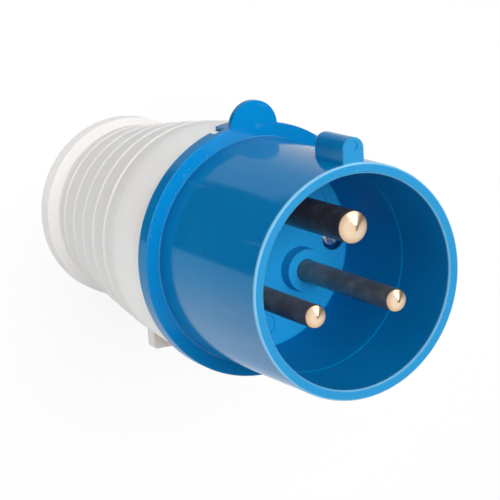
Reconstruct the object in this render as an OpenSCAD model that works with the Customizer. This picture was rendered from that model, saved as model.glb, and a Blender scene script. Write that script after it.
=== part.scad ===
// Industrial pin and sleeve plug, 16 A, two poles and earth, key in line with the earth pin.
// Z runs along the plug from its cord end (z = 0) to the mouth of the sleeve.
// X points from the axis to the key rib, the tab and the earth pin.

/* [Overall] */
// Length of the handle and its gland, from the cord end to the back of the flange
handle_length = 64.9; // [54:0.1:80]
// Length of the sleeve, from the back of the flange to the mouth
sleeve_length = 44.1; // [38:0.1:56]

/* [Sleeve] */
// Outer diameter of the sleeve at its mouth
sleeve_d = 50; // [44:0.5:66]
// Wall of the sleeve at its mouth
sleeve_wall = 2.25; // [1.8:0.05:3.2]
// Growth of the sleeve's outer radius from mouth to flange
sleeve_draft = 0.4; // [0:0.05:0.8]
// Depth of the line where the bore narrows
step_depth = 18.1; // [10:0.1:30]
// Size of the narrowing, on the radius
step_size = 0.15; // [0.1:0.05:0.5]
// Rounding of the mouth's edges
mouth_round = 0.5; // [0.2:0.1:0.9]

/* [Flange and tab] */
// Width of the flange beyond the foot of the sleeve
flange_width = 3.3; // [2.4:0.1:6]
// Thickness of the flange
flange_thick = 3.8; // [3:0.1:6]
// Radius of the round finger tab
tab_r = 5.8; // [4:0.1:8]
// Distance of the tab's centre below the flange's rim
tab_inset = 0.8; // [0:0.05:3]
// Thickness of the tab
tab_thick = 1.4; // [1:0.1:2.4]
// Half the angle over which the flange is thinned behind the tab
thin_angle = 18.6; // [14:0.2:26]
// Half the angle that the catch behind the tab covers
catch_angle = 11.5; // [6:0.5:13]

/* [Key rib] */
// Width of the key rib
key_width = 5; // [4:0.1:7]
// Height of the rib's crown above the sleeve's outer surface
key_height = 5.4; // [4:0.1:8]
// Length of the rib along the sleeve
key_length = 12.8; // [8:0.1:24]

/* [Contacts] */
// Diameter of the pitch circle of the three pins
pin_circle_d = 23; // [21:0.1:27]
// Diameter of the earth pin
earth_d = 7; // [5:0.1:8]
// Diameter of the line and neutral pins
phase_d = 5; // [4:0.1:6]
// Distance from the mouth back to the edge of the pins' cone ends
pin_setback = 1.6; // [1.6:0.1:6]
// Distance from the mouth down to the contact face
face_depth = 40.2; // [34:0.1:48]
// Thickness of the wall that carries the contact face
web_thick = 4; // [3.2:0.1:6]
// Height of the boss round each pin
boss_height = 2.85; // [1:0.05:5]
// Wall of the boss round each pin
boss_wall = 2.3; // [1.5:0.1:2.6]
// Distance of the fixing screws from the wall round the contact face
fixing_inset = 3.6; // [3.2:0.1:5]

/* [Handle] */
// Distance of the handle's front edge below the flange's rim
handle_inset = 1.2; // [0.5:0.1:2.5]
// Diameter of the handle at its cord end
handle_rear_d = 42; // [35:0.1:51]
// Wall of the handle
handle_wall = 2.3; // [1.8:0.1:3.2]
// Number of raised rings
ring_count = 5; // [3:1:5]
// Distance from ring to ring
ring_pitch = 7.75; // [5:0.05:8.5]
// Height of a ring
ring_height = 0.3; // [0.2:0.05:0.8]
// Width of a ring
ring_width = 0.8; // [0.5:0.1:1.6]
// Distance of the square shoulder under the handle from the flange
shoulder_setback = 24.7; // [20:0.1:32]
// Width of the square shoulder
shoulder_width = 27.2; // [20:0.2:34]
// Thickness of the square shoulder
shoulder_thick = 3.2; // [2:0.1:5]

/* [Cord gland] */
// Height of the gland nut's band above the cord end of the handle
nut_rise = 1.4; // [0.2:0.05:2.4]
// Length of the gland nut
nut_length = 7.2; // [6.4:0.1:10]
// Diameter of the opening for the cord in the nut
cord_hole_d = 17; // [12:0.5:18]
// Diameter of the bore of the rubber bush
bush_bore_d = 11; // [7:0.5:14]
// Number of clamping fingers
finger_count = 8; // [6:1:10]

/* [Hidden] */

$fn = 96;
// Overlap of shapes that are joined, and the depth by which cuts pass a face
over = 0.5;
// Clearance of round pieces that seat in one another
seat_gap = 0.1;
// Clearance between pieces that only pass each other
pass_gap = 0.3;

edge = 0.4;
plug_length = handle_length + sleeve_length;
sleeve_r = sleeve_d / 2;
bore_r = sleeve_r - sleeve_wall;
deep_r = bore_r - step_size;
foot_r = sleeve_r + sleeve_draft;
foot_fillet = 0.3;
flange_r = foot_r + flange_width;
flange_back = handle_length;
flange_front = flange_back + flange_thick;
rim_front = 0.25;
rim_back = 0.15;
tab_centre = flange_r - tab_inset;
tab_back = flange_front - tab_thick;
thin_back = tab_back - 0.2;
face_z = plug_length - face_depth;
web_back = face_z - web_thick;

handle_front_r = flange_r - handle_inset;
handle_rear_r = handle_rear_d / 2;
catch_in = handle_front_r - 1.3;
catch_out = flange_r - 0.4;
catch_back = flange_back - 3.7;
socket_r = handle_front_r - handle_wall;
spigot_r = socket_r - pass_gap;
spigot_wall = 2.4;
spigot_bore = spigot_r - spigot_wall;
spigot_length = 11;
spigot_end = flange_back - spigot_length;
seal_r = 0.8;
seal_z = flange_back - 2.7;
seal_groove = spigot_r - 1.4;
lug_z = spigot_end + 1.2;
lug_thick = 2.4;
lug_rise = 0.9;
lug_width = 7;
lug_angles = [60, 180, 300];

pin_circle = pin_circle_d / 2;
pin_angles = [0, -120, 120];
earth_r = earth_d / 2;
phase_r = phase_d / 2;
collar_rise = 2;
collar_thick = 2.2;
barrel_rise = 1.7;
wire_r = 2.1;
wire_depth = 13;
carrier_r = spigot_bore - pass_gap;
carrier_thick = 14.8;
carrier_back = web_back - carrier_thick;
barrel_reach = 6;
barrel_back = carrier_back - barrel_reach;
terminal_z = barrel_back + barrel_reach / 2;
terminal_r = 1.6;

fixing_offset = deep_r - fixing_inset;
screw_shank_r = 1.4;
screw_head_r = 2.55;
screw_head = 1.5;
screw_sink_r = 2.95;
screw_sink = 2.2;
screw_reach = 10;
mark_r = 2.6;
mark_depth = 0.25;
mark_offset = deep_r - 5.4;
key_front = plug_length - edge / 4;

handle_front = flange_back;
// Bend of the handle's outline, where 1 is a plain quarter sine
handle_bend = 1.2;
nut_r = handle_rear_r + nut_rise;
nut_floor = 2.7;
nut_band = nut_length - 3;
nut_lip_r = nut_r - 1.5;
neck_r = nut_r - 3.4;
neck_wall = 3.1;
neck_bore = neck_r - neck_wall;
neck_back = nut_floor + pass_gap;
handle_back = nut_length + 0.2;
seat_z = handle_back + 5.6;
seat_thick = 2.2;
ring_first = handle_back + 3.5;
ring_last = ring_first + (ring_count - 1) * ring_pitch;
blend_length = 8.5;
shoulder_z = flange_back - shoulder_setback - shoulder_thick;
shoulder_drop = handle_front_r - 1;
shoulder_round = 0.8;
socket_depth = 15;
cavity_back = seat_z + seat_thick;

finger_out = neck_bore - seat_gap;
finger_in = finger_out - 2.6;
finger_ring = 1.4;
finger_tip = nut_floor + 2.7;
finger_taper = 2.6;
finger_thin = 1.2;
finger_slot = 1.6;
bush_r = finger_in - pass_gap;
bush_back = nut_floor + 2.2;
seat_hole = bush_r - 3.4;
press_back = nut_floor + 0.1;
press_lip = 1.8;
press_front = finger_tip + 1;

// Points of an arc about [cx, cy] from angle a to angle b
function arc(cx, cy, r, a, b, steps) =
    [for (i = [0:steps]) let (t = a + (b - a) * i / steps) [cx + r * cos(t), cy + r * sin(t)]];

// Outer radius of the handle at height z: a quarter sine, a little straightened
function handle_r(z) = handle_rear_r + (handle_front_r - handle_rear_r)
    * pow(sin(90 * (z - handle_back) / (handle_front - handle_back)), handle_bend);

// How far the grip lies below the handle's outer curve at height z
function grip_sink(z) = z <= ring_last ? ring_height
    : z >= ring_last + blend_length ? 0
    : ring_height * (1 + cos(180 * (z - ring_last) / blend_length)) / 2;

// Outline of the grip from ring to ring
function grip_points() = concat(
    [for (i = [0:ring_count - 1], p = [[-ring_width, 0], [-ring_width / 4, 1],
        [ring_width / 4, 1], [ring_width, 0]])
        let (z = ring_first + i * ring_pitch + p[0])
        [handle_r(z) - ring_height * (1 - p[1]), z]],
    [for (i = [1:8]) let (z = ring_last + ring_width + (blend_length - ring_width) * i / 8)
        [handle_r(z) - grip_sink(z), z]]);

// A wedge of the full circle between two angles, from radius r0 to r1 and from z0 to z1
module sector(r0, r1, z0, z1, a0, a1) {
    translate([0, 0, z0])
        rotate([0, 0, a0])
            rotate_extrude(angle = a1 - a0)
                translate([r0, 0])
                    square([r1 - r0, z1 - z0]);
}

module at_pin(i) {
    rotate([0, 0, pin_angles[i]])
        translate([pin_circle, 0, 0])
            children();
}

function pin_radius(i) = i == 0 ? earth_r : phase_r;

// The seam of the turned outline is kept clear of the tab, the key and the lugs
module sleeve_shell() {
    rotate([0, 0, 30]) rotate_extrude()
        polygon(concat(
            [[0, web_back], [0, face_z], [deep_r, face_z],
                [deep_r, plug_length - step_depth],
                [bore_r, plug_length - step_depth + 3 * step_size]],
            arc(bore_r + mouth_round, plug_length - mouth_round, mouth_round, 180, 90, 4),
            arc(sleeve_r - mouth_round, plug_length - mouth_round, mouth_round, 90, 0, 4),
            arc(foot_r + foot_fillet, flange_front + foot_fillet, foot_fillet, 180, 270, 4),
            arc(flange_r - rim_front, flange_front - rim_front, rim_front, 90, 0, 3),
            arc(flange_r - rim_back, flange_back + rim_back, rim_back, 0, -90, 2),
            [[spigot_r, flange_back], [spigot_r, seal_z + seal_r + seat_gap],
                [seal_groove, seal_z + seal_r + seat_gap],
                [seal_groove, seal_z - seal_r - seat_gap],
                [spigot_r, seal_z - seal_r - seat_gap],
                [spigot_r, spigot_end + edge], [spigot_r - edge, spigot_end],
                [spigot_bore, spigot_end], [spigot_bore, web_back]]));
}

module key_rib() {
    key_r = key_width / 2;
    crown = sleeve_r + key_height - key_r;
    foot = sleeve_r - sleeve_wall / 2;
    back = key_front - key_length + key_r;
    slice = 0.05;
    hull() {
        translate([foot, 0, back])
            rotate([0, 90, 0])
                cylinder(r = key_r, h = slice, $fn = 32);
        translate([crown, 0, back])
            sphere(r = key_r, $fn = 32);
        // The front end, with a narrow chamfer round its face
        for (lift = [0, edge / 2])
            translate([0, 0, key_front - edge / 2 - slice + lift]) {
                translate([crown, 0, 0])
                    cylinder(r = key_r - lift, h = slice, $fn = 32);
                translate([foot, lift - key_r, 0])
                    cube([slice, key_width - 2 * lift, slice]);
            }
    }
}

// A round tab on the flange, which ends inside the sleeve's wall
module finger_tab() {
    difference() {
        translate([tab_centre, 0, tab_back])
            cylinder(r = tab_r, h = tab_thick);
        translate([0, 0, tab_back - over])
            cylinder(r = spigot_r - over, h = tab_thick + 2 * over);
    }
}

module pin_boss(i) {
    top_r = pin_radius(i) + boss_wall;
    translate([0, 0, face_z - over])
        cylinder(r1 = top_r + 0.35, r2 = top_r, h = boss_height + over);
}

module fixing_cut() {
    translate([0, 0, web_back - over])
        cylinder(r = screw_shank_r + seat_gap, h = web_thick);
    translate([0, 0, face_z - screw_sink])
        cylinder(r = screw_sink_r, h = screw_sink + over);
}

module bayonet_lug() {
    intersection() {
        sector(spigot_r - over, spigot_r + lug_rise, lug_z, lug_z + lug_thick, -30, 30);
        translate([0, -lug_width / 2, 0])
            cube([flange_r, lug_width, plug_length]);
    }
}

module sleeve() {
    color("dodgerblue")
        difference() {
            union() {
                difference() {
                    sleeve_shell();
                    sector(spigot_r + over, flange_r + over, flange_back - over, thin_back,
                        -thin_angle, thin_angle);
                }
                sector(catch_in, catch_out, catch_back, thin_back + over,
                    -catch_angle, catch_angle);
                key_rib();
                finger_tab();
                for (i = [0:2])
                    at_pin(i)
                        pin_boss(i);
                for (a = lug_angles)
                    rotate([0, 0, a])
                        bayonet_lug();
            }
            for (i = [0:2])
                at_pin(i)
                    translate([0, 0, web_back - over])
                        cylinder(r = pin_radius(i) + seat_gap, h = web_thick + boss_height + 2 * over);
            for (a = [-90, 90])
                rotate([0, 0, a])
                    translate([fixing_offset, 0, 0])
                        fixing_cut();
            for (a = [-60, 60, 180])
                rotate([0, 0, a])
                    translate([mark_offset, 0, face_z - mark_depth])
                        cylinder(r = mark_r, h = mark_depth + over);
            translate([sleeve_r + key_height * 2 / 3, 0, key_front - mark_depth])
                cylinder(r = key_width / 5, h = over);
        }
}

module contact_carrier() {
    color("gainsboro")
        difference() {
            translate([0, 0, carrier_back])
                cylinder(r = carrier_r, h = carrier_thick);
            for (i = [0:2])
                at_pin(i) {
                    translate([0, 0, carrier_back - over])
                        cylinder(r = pin_radius(i) + barrel_rise + seat_gap, h = carrier_thick);
                    translate([0, 0, web_back - collar_thick - seat_gap])
                        cylinder(r = pin_radius(i) + collar_rise + seat_gap,
                            h = collar_thick + seat_gap + over);
                }
            for (a = [-90, 90])
                rotate([0, 0, a])
                    translate([fixing_offset, 0, face_z - screw_sink - screw_reach - 1])
                        cylinder(r = screw_shank_r + seat_gap, h = plug_length);
        }
}

// A turned pin: cone end, shank, locating collar and the barrel that clamps the wire
module pin(i) {
    r = pin_radius(i);
    tip_z = plug_length - pin_setback;
    // The shank is turned down a little where it passes the contact face
    relief = 2 * seat_gap;
    relief_z = face_z + boss_height + seat_gap;
    color("darkkhaki")
        at_pin(i)
            difference() {
                rotate_extrude()
                    polygon(concat(
                        [[0, barrel_back], [r + barrel_rise - edge, barrel_back],
                            [r + barrel_rise, barrel_back + edge],
                            [r + barrel_rise, web_back - collar_thick],
                            [r + collar_rise, web_back - collar_thick],
                            [r + collar_rise, web_back], [r - relief, web_back],
                            [r - relief, relief_z - relief], [r, relief_z]],
                        arc(r - edge, tip_z - edge / 2, edge, 0, 60, 3),
                        [[0, tip_z + 0.4 * r]]));
                translate([0, 0, barrel_back - over])
                    cylinder(r = wire_r, h = wire_depth + over);
                translate([0, 0, terminal_z])
                    rotate([0, 90, 0])
                        cylinder(r = terminal_r + seat_gap, h = r + barrel_rise + over);
            }
}

module earth_pin() { pin(0); }

module line_pin() { pin(1); }

module neutral_pin() { pin(2); }

// A slotted screw in the barrel, which presses on the wire
module terminal_screw(i) {
    seat = pin_radius(i) + barrel_rise + seat_gap;
    head_r = terminal_r + 1.1;
    head = 1.8;
    color("silver")
        at_pin(i)
            translate([0, 0, terminal_z])
                rotate([0, 90, 0])
                    difference() {
                        rotate_extrude()
                            polygon([[0, wire_r + 0.2], [terminal_r, wire_r + 0.2],
                                [terminal_r, seat], [head_r, seat], [head_r, seat + head - edge],
                                [head_r - edge, seat + head], [0, seat + head]]);
                        translate([-head_r, -0.35, seat + head - 0.9])
                            cube([2 * head_r, 0.7, 2]);
                    }
}

module earth_terminal_screw() { terminal_screw(0); }

module line_terminal_screw() { terminal_screw(1); }

module neutral_terminal_screw() { terminal_screw(2); }

// A cross-head screw that holds the carrier to the back of the contact face
module fixing_screw(angle) {
    seat = face_z - screw_sink;
    color("silver")
        rotate([0, 0, angle])
            translate([fixing_offset, 0, seat])
                difference() {
                    rotate_extrude()
                        polygon(concat(
                            [[0, -screw_reach], [screw_shank_r - edge, -screw_reach],
                                [screw_shank_r, edge - screw_reach], [screw_shank_r, 0],
                                [screw_head_r, 0]],
                            arc(screw_head_r - 1, screw_head - 1, 1, 20, 90, 3),
                            [[0, screw_head]]));
                    for (turn = [0, 90])
                        rotate([0, 0, turn + 35])
                            translate([-1.5, -0.3, screw_head - 0.9])
                                cube([3, 0.6, 2]);
                }
}

module fixing_screw_right() { fixing_screw(-90); }

module fixing_screw_left() { fixing_screw(90); }

module seal_ring() {
    color("dimgray")
        translate([0, 0, seal_z])
            rotate_extrude()
                translate([seal_groove + seal_r + seat_gap / 2, 0])
                    circle(r = seal_r, $fn = 24);
}

module handle_body() {
    rotate_extrude()
        polygon(concat(
            [[neck_bore, neck_back], [neck_r - edge, neck_back], [neck_r, neck_back + edge],
                [neck_r, handle_back], [handle_rear_r - 0.15, handle_back],
                [handle_rear_r, handle_back + 0.15]],
            grip_points(),
            [for (i = [1:6]) let (z = ring_last + blend_length
                + (handle_front - edge - ring_last - blend_length) * i / 6) [handle_r(z), z]],
            [[handle_front_r - edge, handle_front], [socket_r, handle_front],
                [socket_r, handle_front - socket_depth]],
            [for (i = [1:6]) let (z = handle_front - socket_depth
                - (handle_front - socket_depth - cavity_back) * i / 6)
                [handle_r(z) - ring_height - handle_wall, z]],
            [[seat_hole, cavity_back], [seat_hole, seat_z], [neck_bore, seat_z]]));
}

module square_shoulder() {
    half = shoulder_width / 2 - shoulder_round;
    translate([0, 0, shoulder_z])
        linear_extrude(shoulder_thick)
            difference() {
                union() {
                    translate([-shoulder_drop, -half])
                        square([shoulder_drop / 2, 2 * half]);
                    translate([shoulder_round - shoulder_drop, -shoulder_width / 2])
                        square([shoulder_drop / 2, shoulder_width]);
                    for (side = [-1, 1])
                        translate([shoulder_round - shoulder_drop, side * half])
                            circle(r = shoulder_round);
                }
                circle(r = handle_r(shoulder_z) - handle_wall);
            }
}

module handle() {
    color("gainsboro")
        difference() {
            union() {
                handle_body();
                square_shoulder();
            }
            sector(catch_in - pass_gap, flange_r, catch_back - pass_gap, handle_front + over,
                -catch_angle - 1, catch_angle + 1);
            // Slots and ring groove that the bayonet lugs enter and turn in
            sector(socket_r - over, spigot_r + lug_rise + pass_gap, lug_z - pass_gap,
                lug_z + lug_thick + pass_gap, 0, 360);
        }
}

module clamp_fingers() {
    slot_angle = 360 / finger_count;
    color("whitesmoke")
        difference() {
            rotate_extrude()
                polygon([[finger_in, finger_tip], [finger_out - finger_thin, finger_tip],
                    [finger_out, finger_tip + finger_taper], [finger_out, seat_z],
                    [finger_in, seat_z]]);
            for (i = [0:finger_count - 1])
                rotate([0, 0, i * slot_angle])
                    translate([0, -finger_slot / 2, finger_tip - over])
                        cube([neck_r, finger_slot, seat_z - finger_tip - finger_ring + over]);
        }
}

module rubber_bush() {
    color("dimgray")
        rotate_extrude()
            polygon([[bush_bore_d / 2, bush_back], [bush_r - edge, bush_back],
                [bush_r, bush_back + edge], [bush_r, seat_z], [bush_bore_d / 2, seat_z]]);
}

// Follows the nut along the axis and squeezes the fingers with its cone
module pressure_ring() {
    cone = finger_thin / finger_taper;
    ring_out = neck_bore - seat_gap;
    inner = finger_out - finger_thin + pass_gap * 1.3;
    lip = press_back + press_lip;
    color("whitesmoke")
        rotate_extrude()
            polygon([[seat_hole, press_back], [ring_out, press_back], [ring_out, press_front],
                [inner + cone * (press_front - finger_tip), press_front],
                [inner - cone * (finger_tip - lip), lip], [seat_hole, lip]]);
}

module gland_nut() {
    color("gainsboro")
        rotate_extrude()
            polygon(concat(
                [[cord_hole_d / 2, 0]],
                arc(nut_r - edge, edge, edge, 270, 360, 3),
                [[nut_r, nut_band], [nut_lip_r, nut_length],
                    [neck_r + seat_gap, nut_length], [neck_r + seat_gap, nut_floor],
                    [cord_hole_d / 2, nut_floor]]));
}

sleeve();
contact_carrier();
earth_pin();
line_pin();
neutral_pin();
earth_terminal_screw();
line_terminal_screw();
neutral_terminal_screw();
fixing_screw_right();
fixing_screw_left();
seal_ring();
handle();
clamp_fingers();
rubber_bush();
pressure_ring();
gland_nut();
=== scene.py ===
import bpy
import math
from mathutils import Matrix, Vector


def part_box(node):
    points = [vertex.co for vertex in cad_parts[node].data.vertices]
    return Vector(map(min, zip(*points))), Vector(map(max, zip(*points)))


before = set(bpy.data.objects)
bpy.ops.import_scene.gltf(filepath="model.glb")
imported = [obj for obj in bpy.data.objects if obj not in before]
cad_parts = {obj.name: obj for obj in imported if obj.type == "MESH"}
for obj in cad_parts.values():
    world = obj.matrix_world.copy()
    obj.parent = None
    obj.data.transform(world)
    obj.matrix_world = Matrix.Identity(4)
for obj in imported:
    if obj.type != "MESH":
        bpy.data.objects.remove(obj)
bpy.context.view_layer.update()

mm = 0.001
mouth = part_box("sleeve")[1][2]  # height of the sleeve's open end


# A socket that can stand in an expression, for the shader maths
class Wire:
    def __init__(self, tree, socket=None):
        self.tree = tree
        self.socket = socket

    # Settings come first, then the inputs, which are values or other wires
    def node(self, kind, inputs=(), out=0, **settings):
        made = self.tree.nodes.new(kind)
        for name, value in settings.items():
            setattr(made, name, value)
        items = inputs.items() if isinstance(inputs, dict) else enumerate(inputs)
        for key, value in items:
            if isinstance(value, Wire):
                self.tree.links.new(value.socket, made.inputs[key])
            else:
                made.inputs[key].default_value = value
        return Wire(self.tree, made.outputs[out])

    def math(self, operation, *others):
        return self.node("ShaderNodeMath", (self, *others), operation=operation)

    def __add__(self, other):
        return self.math("ADD", other)

    def __sub__(self, other):
        return self.math("SUBTRACT", other)

    def __rsub__(self, other):
        return self.node("ShaderNodeMath", (other, self), operation="SUBTRACT")

    def __mul__(self, other):
        return self.math("MULTIPLY", other)

    def __truediv__(self, other):
        return self.math("DIVIDE", other)

    def __abs__(self):
        return self.math("ABSOLUTE")

    __radd__ = __add__
    __rmul__ = __mul__

    # 0 below low, 1 above high, and a smooth rise from one to the other
    def step(self, low, high):
        return self.node("ShaderNodeMapRange", {0: self, 1: low, 2: high},
                         interpolation_type="SMOOTHSTEP")

    # 1 after the rise and before the fall, each a pair of values
    def between(self, rise, fall):
        return self.step(*rise) * (1 - self.step(*fall))

    # The first colour where the wire is 0, the second where it is 1
    def mix(self, first, second):
        return self.node("ShaderNodeMix", {0: self, 6: first, 7: second}, out=2, data_type="RGBA")


def link(wire, socket):
    wire.tree.links.new(wire.socket, socket)


def objectPlace(tree):
    return Wire(tree).node("ShaderNodeTexCoord", out="Object")


def splitPlace(place):
    split = place.node("ShaderNodeSeparateXYZ", [place]).socket.node
    return [Wire(place.tree, part) for part in split.outputs]


def radiusOf(x, y):
    return (x * x + y * y).math("SQRT")


def noise(place, scale, detail, stretch=None):
    if stretch:
        place = place.node("ShaderNodeMapping", {"Vector": place, "Scale": stretch})
    return place.node("ShaderNodeTexNoise", {"Vector": place, "Scale": scale, "Detail": detail})


def bump(height, strength, distance, over=None):
    inputs = {"Strength": strength, "Distance": distance, "Height": height}
    if over:
        inputs["Normal"] = over
    return height.node("ShaderNodeBump", inputs)


# A colour as a screen shows it, 0 to 255, made linear
def rgb(*levels):
    def linear(level):
        level = level / 255
        return level / 12.92 if level <= 0.04045 else ((level + 0.055) / 1.055) ** 2.4
    return (*[linear(level) for level in levels], 1)


def newMaterial(name):
    material = bpy.data.materials.new(name)
    material.use_nodes = True
    tree = material.node_tree
    return material, tree.nodes["Principled BSDF"], objectPlace(tree)


# In each finish, a noise pattern is given as its scale and detail, a relief as its
# strength and depth, and other pairs say where a change starts and ends.
# The sleeve is glossy outside and duller in its bore.
bluePlastic = {
    "colour": rgb(0, 121, 183),
    "deep": rgb(0, 117, 178),
    "outsideRoughness": 0.12,
    "insideRoughness": 0.42,
    "boreToOutside": (22.9 * mm, 24.6 * mm),
    # The wall with the pins is moulded matt and painted paler, as painted light, and its recesses
    # painted darker, as painted shade
    "wall": rgb(27, 139, 196),
    "recessShade": rgb(0, 72, 132),
    "faceRoughness": 0.5,
    "wallFrom": mouth - 40.8 * mm,
    "wallTo": mouth - 36 * mm,
    "recessFrom": mouth - 47 * mm,
    "wallRadius": 22.2 * mm,
    "softEdge": 0.2 * mm,
    # The rim of the mouth is painted paler as a painted sheen, and paler still along its two edges
    # as painted highlights
    "rimSheen": rgb(34, 128, 178),
    "edgeHighlightAndWear": rgb(122, 180, 216),
    "rim": (mouth - 0.9 * mm, mouth - 0.5 * mm),
    "rimMiddle": 23.8 * mm,
    "edgeRise": (0.75 * mm, 1.05 * mm),
    "edgeFall": (1.2 * mm, 1.4 * mm),
    # Pale specks, and fine scuffs that run along the sleeve
    "clouds": (60, 4),
    "cloudEdge": (0.35, 0.7),
    "grain": (2600, 2),
    "specks": (1100, 1),
    "speckEdge": (0.735, 0.79),
    "scuffs": (420, 3),
    "scuffEdge": (0.66, 0.8),
    "scuffStretch": (1, 1, 0.12),
    "marks": 0.22,
    "uneven": 0.05,
    "markRoughness": 0.15,
    "relief": (0.06, 0.2 * mm),
    "ior": 1.53,
    "specular": 0.35,
}


def makeBluePlastic():
    look = bluePlastic
    material, shader, place = newMaterial("bluePlastic")
    x, y, z = splitPlace(place)
    radius = radiusOf(x, y)
    clouds = noise(place, *look["clouds"])
    grain = noise(place, *look["grain"])
    specks = noise(place, *look["specks"]).step(*look["speckEdge"])
    scuffs = noise(place, *look["scuffs"], look["scuffStretch"]).step(*look["scuffEdge"])
    marks = specks.math("MAXIMUM", scuffs * 0.5)

    soft = look["softEdge"]
    low, high = look["wallFrom"], look["wallTo"]
    bore = 1 - radius.step(look["wallRadius"], look["wallRadius"] + soft)
    recessShade = bore * z.between((look["recessFrom"], low), (low, low + soft))
    wall = bore * z.between((low, low + soft), (high, high + soft))
    rim = z.step(*look["rim"])
    edge = rim * abs(radius - look["rimMiddle"]).between(look["edgeRise"], look["edgeFall"])

    colour = clouds.step(*look["cloudEdge"]).mix(look["deep"], look["colour"])
    # Painted shade in the recesses round the bosses, then painted light on the wall with the pins
    colour = recessShade.mix(colour, look["recessShade"])
    colour = wall.mix(colour, look["wall"])
    # Painted sheen on the rim, and painted highlights along its two edges
    colour = rim.mix(colour, look["rimSheen"])
    colour = edge.mix(colour, look["edgeHighlightAndWear"])
    # Pale specks and scuffs, in the colour of the painted edge highlights
    colour = (marks * look["marks"]).mix(colour, look["edgeHighlightAndWear"])
    link(colour, shader.inputs["Base Color"])

    outside = radius.step(*look["boreToOutside"])
    gloss = outside * (look["outsideRoughness"] - look["insideRoughness"]) + look["insideRoughness"]
    rough = gloss + rim.math("MAXIMUM", wall) * (look["faceRoughness"] - gloss)
    rough = rough + (clouds - 0.5) * look["uneven"] + marks * look["markRoughness"]
    link(rough, shader.inputs["Roughness"])
    link(bump(grain * 0.3 + clouds + marks * 0.4, *look["relief"]), shader.inputs["Normal"])
    shader.inputs["IOR"].default_value = look["ior"]
    shader.inputs["Specular IOR Level"].default_value = look["specular"]
    return material


# The handle and the gland nut are painted a little greyer between the rings, as painted shade, and
# less grey on the rings
whitePlastic = {
    "colour": rgb(251, 247, 243),
    "shade": rgb(248, 243, 239),
    "shadeBetweenRings": rgb(233, 227, 222),
    "onRing": 0.4,              # how grey the rings are, where between them it is 1
    "firstRing": 11.1 * mm,
    "ringPitch": 7.75 * mm,
    "ringEdge": (0.045, 0.09),  # in pitches, from the middle of a ring
    "shadeStart": (7.6 * mm, 8.4 * mm),
    "shadeEnd": (44 * mm, 54 * mm),
    "roughness": 0.37,
    "uneven": 0.1,
    "clouds": (45, 4),
    "cloudEdge": (0.3, 0.75),
    "grain": (3200, 2),
    "relief": (0.08, 0.1 * mm),
    "ior": 1.5,
    # The thread runs round the neck and the inside of the nut
    "threadRadius": 19.05 * mm,
    "threadRise": (0.97, 0.98),  # in thread radii
    "threadFall": (1.01, 1.015),
    "threadPitch": 3 * mm,
    "threadDepth": 1.2 * mm,
}


def makeWhitePlastic():
    look = whitePlastic
    material, shader, place = newMaterial("whitePlastic")
    x, y, z = splitPlace(place)
    clouds = noise(place, *look["clouds"])
    grain = noise(place, *look["grain"])
    # Painted shade between the handle's rings, fading in before the first ring and out past the
    # last
    rings = (z - look["firstRing"]) / look["ringPitch"]
    offRing = abs(rings - rings.math("ROUND")).step(*look["ringEdge"])
    ringShadeMask = offRing * (1 - look["onRing"]) + look["onRing"]
    ringShadeMask = ringShadeMask * z.between(look["shadeStart"], look["shadeEnd"])
    plain = clouds.step(*look["cloudEdge"]).mix(look["shade"], look["colour"])
    link(ringShadeMask.mix(plain, look["shadeBetweenRings"]), shader.inputs["Base Color"])
    link(clouds * look["uneven"] + look["roughness"], shader.inputs["Roughness"])

    onThread = radiusOf(x, y) / look["threadRadius"]
    onThread = onThread.between(look["threadRise"], look["threadFall"])
    rise = z / look["threadPitch"] - y.math("ARCTAN2", x) / (2 * math.pi)
    thread = rise.math("PINGPONG", 0.5) * onThread
    fine = bump(grain, *look["relief"])
    link(bump(thread, 1, look["threadDepth"], over=fine), shader.inputs["Normal"])
    shader.inputs["IOR"].default_value = look["ior"]
    return material


# Clouds of a second colour and a fine grain, for the pieces inside and the screws
insideFinishes = {
    "greyPlastic": {"colour": rgb(176, 176, 173), "clouded": rgb(188, 188, 184), "metal": 0,
                    "roughness": 0.44, "uneven": 0.12, "clouds": (80, 4), "edge": (0.3, 0.7),
                    "grain": (3000, 2), "relief": (0.1, 0.1 * mm)},
    "blackRubber": {"colour": rgb(38, 38, 40), "clouded": rgb(58, 58, 60), "metal": 0,
                    "roughness": 0.65, "uneven": 0.15, "clouds": (140, 5), "edge": (0.45, 0.8),
                    "grain": (2400, 3), "relief": (0.15, 0.1 * mm)},
    "screwSteel": {"colour": (0.94, 0.95, 0.97, 1), "clouded": (0.8, 0.81, 0.84, 1), "metal": 1,
                   "roughness": 0.3, "uneven": 0.12, "clouds": (900, 3), "edge": (0.3, 0.8),
                   "grain": (900, 3), "relief": (0.1, 0.03 * mm)},
}


def makeInsideFinish(name):
    look = insideFinishes[name]
    material, shader, place = newMaterial(name)
    clouds = noise(place, *look["clouds"])
    colour = clouds.step(*look["edge"]).mix(look["colour"], look["clouded"])
    link(colour, shader.inputs["Base Color"])
    link(clouds * look["uneven"] + look["roughness"], shader.inputs["Roughness"])
    link(bump(noise(place, *look["grain"]), *look["relief"]), shader.inputs["Normal"])
    shader.inputs["Metallic"].default_value = look["metal"]
    return material


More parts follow.
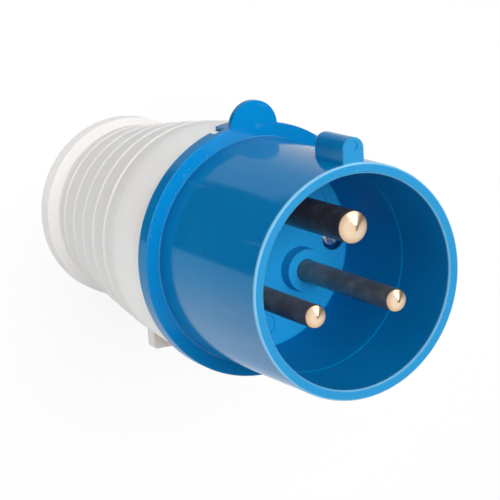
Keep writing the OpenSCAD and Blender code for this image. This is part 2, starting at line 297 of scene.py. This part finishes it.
# Each kind of pin has a dark shank, rubbed paler in places, and a bare turned tip. The pins are one
# metal, and the phase pins' shank is painted paler, as painted light
pinMetal = {
    "earthPin": {"shank": (0.072, 0.070, 0.068, 1), "rubbed": (0.15, 0.14, 0.13, 1)},
    # The phase pins' shank is the earth pin's shank made paler, as painted light
    "phasePin": {"shank": (0.16, 0.155, 0.15, 1), "rubbed": (0.28, 0.26, 0.24, 1)},
    "shankMetal": 0.45,
    "brass": (0.97, 0.75, 0.54, 1),
    "tarnish": (0.66, 0.45, 0.29, 1),
    # Heights where the shank ends, and where the tip turns from tarnished to clean
    "bare": (mouth - 1.78 * mm, mouth - 1.72 * mm),
    "clean": (mouth - 1.78 * mm, mouth - 1.1 * mm),
    "cleanWander": 0.3 * mm,
    "clouds": (260, 4),
    "rubbedEdge": (0.4, 0.75),
    "spotEdge": (0.5, 0.75),
    "spots": 0.35,
    "turnedLines": (1500, 2),
    "turnedStretch": (0.03, 0.03, 1),
    "shankRoughness": 0.2,
    "tipRoughness": 0.21,
    "relief": (0.12, 0.03 * mm),
}


def makePinMetal(kind):
    look = pinMetal
    material, shader, place = newMaterial(kind)
    x, y, z = splitPlace(place)
    bare = z.step(*look["bare"])
    clouds = noise(place, *look["clouds"])
    lines = noise(place, *look["turnedLines"], look["turnedStretch"])
    shank = clouds.step(*look["rubbedEdge"]).mix(look[kind]["shank"], look[kind]["rubbed"])
    clean = (z - clouds * look["cleanWander"]).step(*look["clean"])
    spots = clouds.step(*look["spotEdge"]) * look["spots"]
    tip = spots.mix(clean.mix(look["tarnish"], look["brass"]), look["tarnish"])
    link(bare.mix(shank, tip), shader.inputs["Base Color"])
    shankRough = lines * 0.2 + clouds * 0.1 + look["shankRoughness"]
    tipRough = lines * 0.12 + look["tipRoughness"]
    link(shankRough + bare * (tipRough - shankRough), shader.inputs["Roughness"])
    link(bare * (1 - look["shankMetal"]) + look["shankMetal"], shader.inputs["Metallic"])
    link(bump(lines, *look["relief"]), shader.inputs["Normal"])
    return material


def paintNodes():
    finishes = {
        makeBluePlastic(): ["sleeve"],
        makeWhitePlastic(): ["handle", "gland_nut"],
        makeInsideFinish("greyPlastic"): ["contact_carrier", "clamp_fingers", "pressure_ring"],
        makeInsideFinish("blackRubber"): ["seal_ring", "rubber_bush"],
        makePinMetal("earthPin"): ["earth_pin"],
        makePinMetal("phasePin"): ["line_pin", "neutral_pin"],
        makeInsideFinish("screwSteel"): ["earth_terminal_screw", "line_terminal_screw",
                                         "neutral_terminal_screw", "fixing_screw_right",
                                         "fixing_screw_left"],
    }
    for material, nodes in finishes.items():
        for node in nodes:
            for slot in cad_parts[node].material_slots:
                slot.material = material
        print("finish", material.name, "on", ", ".join(nodes))


# The camera looks at the plug from beside its mouth and is rolled, so that the plug
# lies across the picture while it stands on its end here. Angles are in degrees.
viewPoint = {
    "aim": Vector((-1.48, -1.47, 61.2)) * mm,
    "bearing": 65.05,
    "elevation": 58.2,
    "roll": 108.5,
    "distance": 463.8 * mm,
    "lens": 147.7,
}


def direction(bearing, elevation):
    bearing, elevation = math.radians(bearing), math.radians(elevation)
    return Vector((math.cos(bearing) * math.cos(elevation),
                   math.sin(bearing) * math.cos(elevation), math.sin(elevation)))


# Stands the camera or a lamp where its dictionary says, looking at the plug
def aimAtPlug(name, data, stand):
    back = direction(stand["bearing"], stand["elevation"])
    place = Matrix.Translation(viewPoint["aim"] + back * stand["distance"])
    turn = back.to_track_quat("Z", "Y").to_matrix()
    turn = turn @ Matrix.Rotation(math.radians(stand.get("roll", 0)), 3, "Z")
    thing = bpy.data.objects.new(name, data)
    thing.matrix_world = place @ turn.to_4x4()
    bpy.context.collection.objects.link(thing)
    return thing


def makeCamera():
    data = bpy.data.cameras.new("camera")
    data.lens = viewPoint["lens"]
    data.clip_start = 10 * mm
    bpy.context.scene.camera = aimAtPlug("camera", data, viewPoint)
    print("camera with a lens of", viewPoint["lens"], "mm")


# Where each lamp stands as seen from the plug, its width and height, and how bright its
# face is. Glossy surfaces mirror only the cross lamp, as the bright wedge on the pins' tips.
lamps = {
    "keyBox": {"bearing": 25, "elevation": 75, "distance": 0.8, "size": (0.5, 0.5),
               "glow": 10.0, "mirrored": False},
    "crossBox": {"bearing": -48, "elevation": 50, "distance": 0.8, "size": (0.4, 0.4),
                 "glow": 2.4, "mirrored": True},
    "sideBox": {"bearing": 135, "elevation": 18, "distance": 0.9, "size": (0.5, 0.4),
                "glow": 2.2, "mirrored": False},
}


def makeLamps():
    for name, lamp in lamps.items():
        wide, high = lamp["size"]
        data = bpy.data.lights.new(name, "AREA")
        data.shape = "RECTANGLE"
        data.size, data.size_y = wide, high
        data.energy = lamp["glow"] * math.pi * wide * high
        light = aimAtPlug(name, data, lamp)
        light.visible_camera = False
        light.visible_glossy = lamp["mirrored"]
    print("lamps", ", ".join(lamps))


# Masks of the rays that see the studio as the camera does, and of those off glossy surfaces
def rays(tree):
    paths = Wire(tree).node("ShaderNodeLightPath").socket.node
    straight, through, glossy = [Wire(tree, paths.outputs[f"Is {kind} Ray"])
                                 for kind in ("Camera", "Transmission", "Glossy")]
    return straight.math("MAXIMUM", through), glossy


def addStage(name, corners):
    mesh = bpy.data.meshes.new(name)
    mesh.from_pydata(corners, [], [range(len(corners))])
    thing = bpy.data.objects.new(name, mesh)
    bpy.context.collection.objects.link(thing)
    material = bpy.data.materials.new(name)
    material.use_nodes = True
    mesh.materials.append(material)
    return thing


# To the camera the floor is nearly white, so that it keeps the plug's shadow, and wholly
# white farther out. To glossy surfaces it shows tints that change from place to place.
# The key's side of the plug is +X, and its front is +Y.
floorLook = {
    "reach": 3.0,
    "colour": (0.8, 0.8, 0.8, 1),
    "roughness": 0.9,
    "white": 0.88,
    "whiteRing": (0.15, 0.6),
    "frontTint": (0.46, 0.78, 0.93, 1),
    "offKeyTint": (0.88, 1.0, 1.0, 1),
    "offKeyEdge": (-50 * mm, 0),
    "middleTint": (0.56, 0.68, 0.82, 1),
    "middleEdge": (0, 45 * mm),
    "keyTint": (0.38, 0.56, 0.70, 1),
    "keyEdge": (20 * mm, 50 * mm),
    "rearTint": (0.85, 0.88, 0.92, 1),
    "rearEdge": (5 * mm, 65 * mm),
    "farTint": (1, 1, 1, 1),
    "farEdge": (110 * mm, 180 * mm),
}


def makeFloor():
    look = floorLook
    far = look["reach"]
    floor = addStage("floor", [(-far, -far, 0), (far, -far, 0), (far, far, 0), (-far, far, 0)])
    tree = floor.active_material.node_tree
    shader = tree.nodes["Principled BSDF"]
    shader.inputs["Base Color"].default_value = look["colour"]
    shader.inputs["Roughness"].default_value = look["roughness"]
    camera, glossy = rays(tree)
    x, y, z = splitPlace(objectPlace(tree))
    radius = radiusOf(x, y)
    tint = x.step(*look["offKeyEdge"]).mix(look["offKeyTint"], look["frontTint"])
    tint = y.step(*look["middleEdge"]).mix(look["middleTint"], tint)
    tint = x.step(*look["keyEdge"]).mix(tint, look["keyTint"])
    tint = (0 - y).step(*look["rearEdge"]).mix(tint, look["rearTint"])
    tint = radius.step(*look["farEdge"]).mix(tint, look["farTint"])
    glow = camera.node("ShaderNodeEmission", {"Color": glossy.mix((1, 1, 1, 1), tint),
                                              "Strength": 1})
    white = radius.step(*look["whiteRing"]) * (1 - look["white"]) + look["white"]
    shown = camera.node("ShaderNodeMixShader", {0: camera * white + glossy,
                                                1: Wire(tree, shader.outputs[0]), 2: glow})
    link(shown, tree.nodes["Material Output"].inputs["Surface"])
    print("floor out to", far, "m")


# Black cards that only glossy surfaces see, their corners in millimetres. One lies just
# over the floor and darkens a side of the sleeve, and one stands far to the rear and
# darkens a part of the pins' tips.
cards = {
    "darkCard": [(50, 34, 1.5), (63, 27.5, 1.5), (77.5, 29, 1.5), (81, 35, 1.5), (90, 24, 1.5),
                 (125, 8, 1.5), (110, 125, 1.5), (0, 120, 1.5), (6, 60, 1.5)],
    "darkFlag": [(35, -400, 0), (260, -310, 0), (260, -310, 300), (35, -400, 300)],
}
cardBlack = (0.004, 0.004, 0.004, 1)


def makeCards():
    for name, corners in cards.items():
        card = addStage(name, [Vector(corner) * mm for corner in corners])
        shader = card.active_material.node_tree.nodes["Principled BSDF"]
        shader.inputs["Base Color"].default_value = cardBlack
        shader.inputs["Roughness"].default_value = 1
        shader.inputs["Specular IOR Level"].default_value = 0
        card.visible_camera = False
        card.visible_diffuse = False
        card.visible_shadow = False
        card.visible_transmission = False
    print("cards", ", ".join(cards))


# The sky is white to the camera and lights the plug softly. Glossy surfaces see it white
# too, but for a dark round patch, whose edge is given in degrees from its middle.
sky = {
    "ambient": 0.2,
    "bright": 1.0,
    "dark": 0.06,
    "patch": direction(258, 52),
    "patchEdge": (37, 24),
}


def makeSky():
    world = bpy.data.worlds.new("sky")
    world.use_nodes = True
    bpy.context.scene.world = world
    tree = world.node_tree
    background = tree.nodes["Background"]
    background.inputs["Color"].default_value = (1, 1, 1, 1)
    camera, glossy = rays(tree)
    toward = Wire(tree).node("ShaderNodeTexCoord", out="Generated")
    nearness = toward.node("ShaderNodeVectorMath", (toward, sky["patch"]), out="Value",
                           operation="DOT_PRODUCT")
    patch = nearness.step(*[math.cos(math.radians(angle)) for angle in sky["patchEdge"]])
    mirrored = patch * (sky["dark"] - sky["bright"]) + sky["bright"]
    ambient = sky["ambient"]
    link(camera * (1 - ambient) + glossy * (mirrored - ambient) + ambient,
         background.inputs["Strength"])
    print("sky with a dark patch")


bpy.context.scene.view_settings.view_transform = "Standard"
makeCamera()
makeLamps()
makeFloor()
makeCards()
makeSky()
paintNodes()
